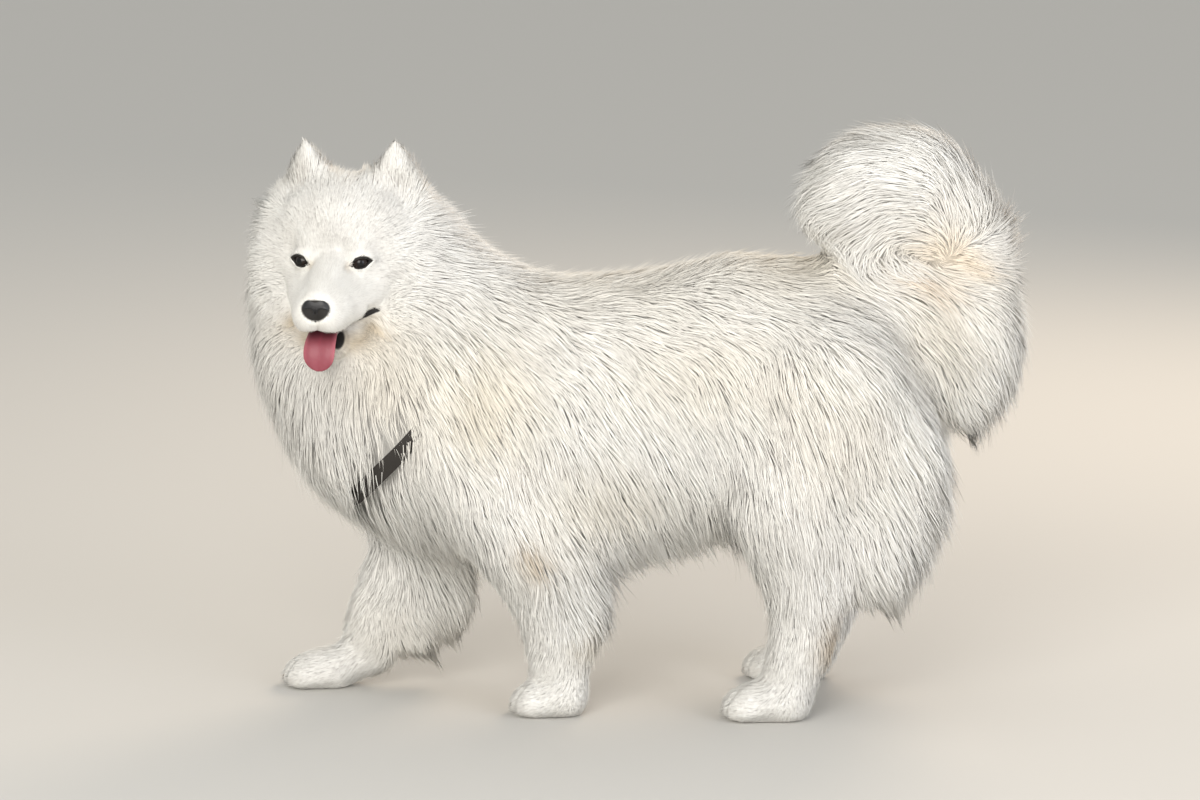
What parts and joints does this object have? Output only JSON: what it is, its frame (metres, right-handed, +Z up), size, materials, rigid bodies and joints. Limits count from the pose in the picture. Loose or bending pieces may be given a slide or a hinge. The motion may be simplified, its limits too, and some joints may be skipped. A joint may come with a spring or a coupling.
{
  "type": "samoyed dog",
  "caption": "Life-size standing Samoyed, head turned to its left with the mouth open, thick long coat, plumed tail curled over the back, a plain strap round the neck.",
  "frame": {"origin": "on the floor, under the middle of the whole model's box", "axes": "+X to the dog's left, which the camera sees; -Y the way the body faces; +Z up"},
  "size_m": [0.3904, 1.0278, 0.7834],
  "materials": {
    "coat": "long soft fur, off-white with cream on the shoulders, flanks and legs",
    "nose_skin": "moist, finely pebbled, near black",
    "tongue_skin": "wet, pink, with a furrow down the middle",
    "eye": "wet and glossy, very dark brown with black rims",
    "claw": "smooth horn, grey brown",
    "webbing": "flat woven strap, near black"
  },
  "bodies": {
    "root": {"claw_foreleg_left_1": "claw", "claw_foreleg_left_2": "claw", "claw_foreleg_left_3": "claw", "claw_foreleg_left_4": "claw", "claw_foreleg_right_1": "claw", "claw_foreleg_right_2": "claw", "claw_foreleg_right_3": "claw", "claw_foreleg_right_4": "claw", "claw_hindleg_left_1": "claw", "claw_hindleg_left_2": "claw", "claw_hindleg_left_3": "claw", "claw_hindleg_left_4": "claw", "claw_hindleg_right_1": "claw", "claw_hindleg_right_2": "claw", "claw_hindleg_right_3": "claw", "claw_hindleg_right_4": "claw", "ear_left": "coat", "ear_right": "coat", "eye_left": "eye", "eye_right": "eye", "foreleg_left": "coat", "foreleg_right": "coat", "forepaw_left": "coat", "forepaw_right": "coat", "head": "coat", "hindleg_left": "coat", "hindleg_right": "coat", "hindpaw_left": "coat", "hindpaw_right": "coat", "lower_jaw": "coat", "neck": "coat", "neck_strap": "webbing", "nose": "nose_skin", "tail": "coat", "tongue": "tongue_skin", "trunk": "coat"}
  },
  "joints": []
}
